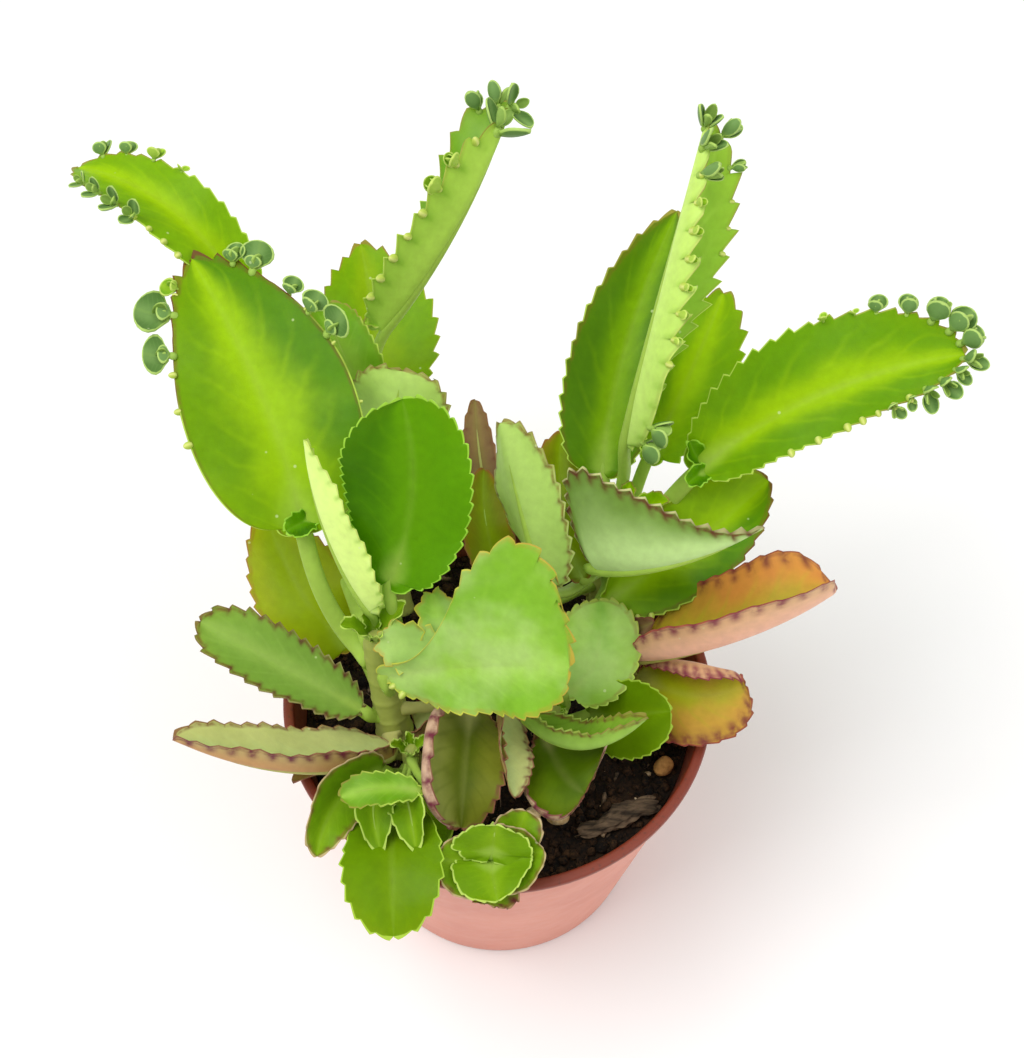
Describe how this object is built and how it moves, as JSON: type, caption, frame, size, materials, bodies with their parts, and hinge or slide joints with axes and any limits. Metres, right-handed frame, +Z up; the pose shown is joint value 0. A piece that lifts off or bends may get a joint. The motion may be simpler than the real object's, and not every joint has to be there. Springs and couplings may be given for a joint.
{
  "type": "potted mother of thousands plant",
  "caption": "Succulent with broad toothed leaves that carry plantlets along their edges, growing as several rooted stems in a round tapered plastic nursery pot of dark soil.",
  "frame": {"origin": "centre of the pot's flat underside", "axes": "+Z up the pot's axis, -Y towards the side where the small rosettes lean over the rim, +X to the right of that side"},
  "size_m": [0.2413, 0.2061, 0.2143],
  "materials": {
    "pot_plastic": "thin terracotta-coloured plastic, satin",
    "soil": "damp peat and bark, rough",
    "stem": "smooth fleshy stem",
    "leaf_green": "fleshy leaf, soft sheen",
    "leaf_olive": "older leaf, soft sheen",
    "leaf_red": "sun-reddened or drying leaf, soft sheen",
    "stone": "matt pebble",
    "bark": "weathered bark"
  },
  "bodies": {
    "root": {"pot": "pot_plastic", "soil": "soil", "stem_a": "stem", "stem_b": "stem", "stem_c": "stem", "stem_d": "stem", "stem_e": "stem", "stem_f": "stem", "leaf_a1": "leaf_red", "leaf_a2": "leaf_red", "leaf_a3": "leaf_olive", "leaf_a4": "leaf_green", "leaf_a5": "leaf_olive", "leaf_a6": "leaf_green", "leaf_a7": "leaf_green", "leaf_a8": "leaf_green", "leaf_a9": "leaf_green", "leaf_a10": "leaf_green", "leaf_a11": "leaf_green", "leaf_b1": "leaf_olive", "leaf_b2": "leaf_green", "leaf_b3": "leaf_green", "leaf_b4": "leaf_green", "leaf_c1": "leaf_red", "leaf_c2": "leaf_green", "leaf_c3": "leaf_green", "leaf_c4": "leaf_green", "leaf_c5": "leaf_green", "leaf_c6": "leaf_green", "leaf_c7": "leaf_green", "leaf_d1": "leaf_red", "leaf_d2": "leaf_green", "leaf_d3": "leaf_green", "leaf_d4": "leaf_green", "leaf_d5": "leaf_green", "leaf_e1": "leaf_olive", "leaf_e2": "leaf_red", "leaf_e3": "leaf_green", "leaf_e4": "leaf_green", "leaf_e5": "leaf_green", "leaf_f1": "leaf_red", "leaf_f2": "leaf_olive", "leaf_f3": "leaf_red", "leaf_f4": "leaf_red", "leaf_f5": "leaf_olive", "leaf_f6": "leaf_green", "leaf_f7": "leaf_green", "leaf_f8": "leaf_green", "leaf_f9": "leaf_green", "leaf_f10": "leaf_green", "leaf_f11": "leaf_green", "leaf_f12": "leaf_green", "stone_cream": "stone", "stone_pale": "stone", "stone_orange": "stone", "bark_chip": "bark"}
  },
  "joints": []
}
